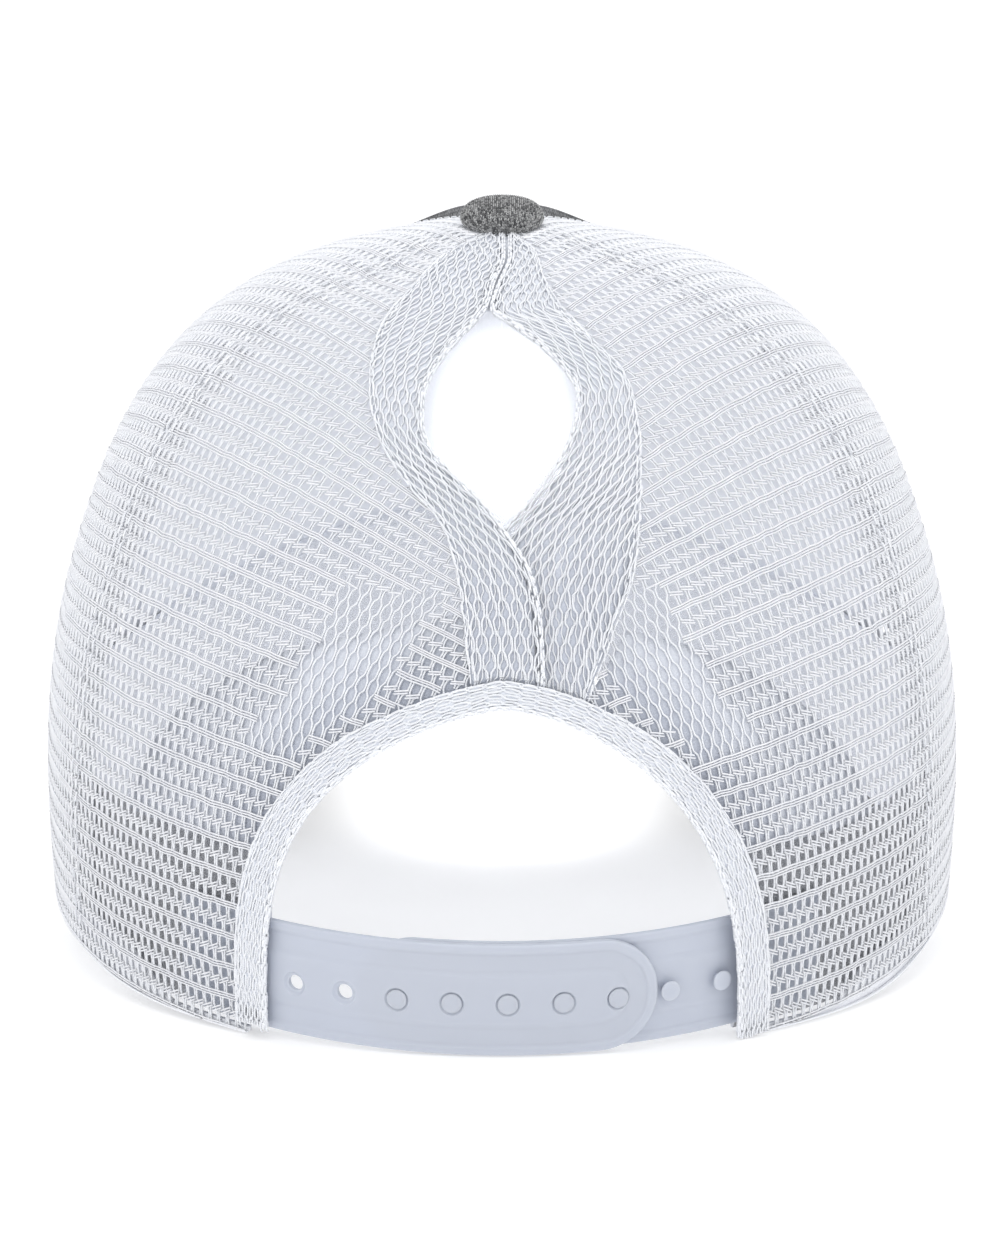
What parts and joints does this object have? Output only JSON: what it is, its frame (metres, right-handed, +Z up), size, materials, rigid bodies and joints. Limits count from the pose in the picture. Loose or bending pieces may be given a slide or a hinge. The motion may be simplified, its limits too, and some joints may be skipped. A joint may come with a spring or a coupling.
{
  "type": "trucker cap",
  "caption": "Structured trucker cap with a net back, curved visor, arched opening over a snap strap, and a ponytail opening high on the back.",
  "frame": {"origin": "middle of the bounding box at the level of the surface the cap rests on", "axes": "+Z up, +Y towards the snap strap at the back, -Y towards the visor, +X towards the wearer's left"},
  "size_m": [0.1764, 0.2676, 0.1457],
  "materials": {
    "heather": "grey heather jersey knit, matt",
    "net": "white knitted polyester net with a faint blue shade",
    "sweatband": "dark grey heather knit outside, pale towelling on the skin side",
    "strap": "translucent pale moulded plastic, satin"
  },
  "bodies": {
    "root": {"front_panel_left": "heather", "front_panel_right": "heather", "side_mesh_left": "net", "side_mesh_right": "net", "back_mesh_left": "net", "back_mesh_right": "net", "ponytail_binding_left": "net", "ponytail_binding_right": "net", "arch_binding": "net", "button": "heather", "visor": "heather", "sweatband": "sweatband", "strap_holes": "strap", "strap_pegs": "strap"}
  },
  "joints": []
}
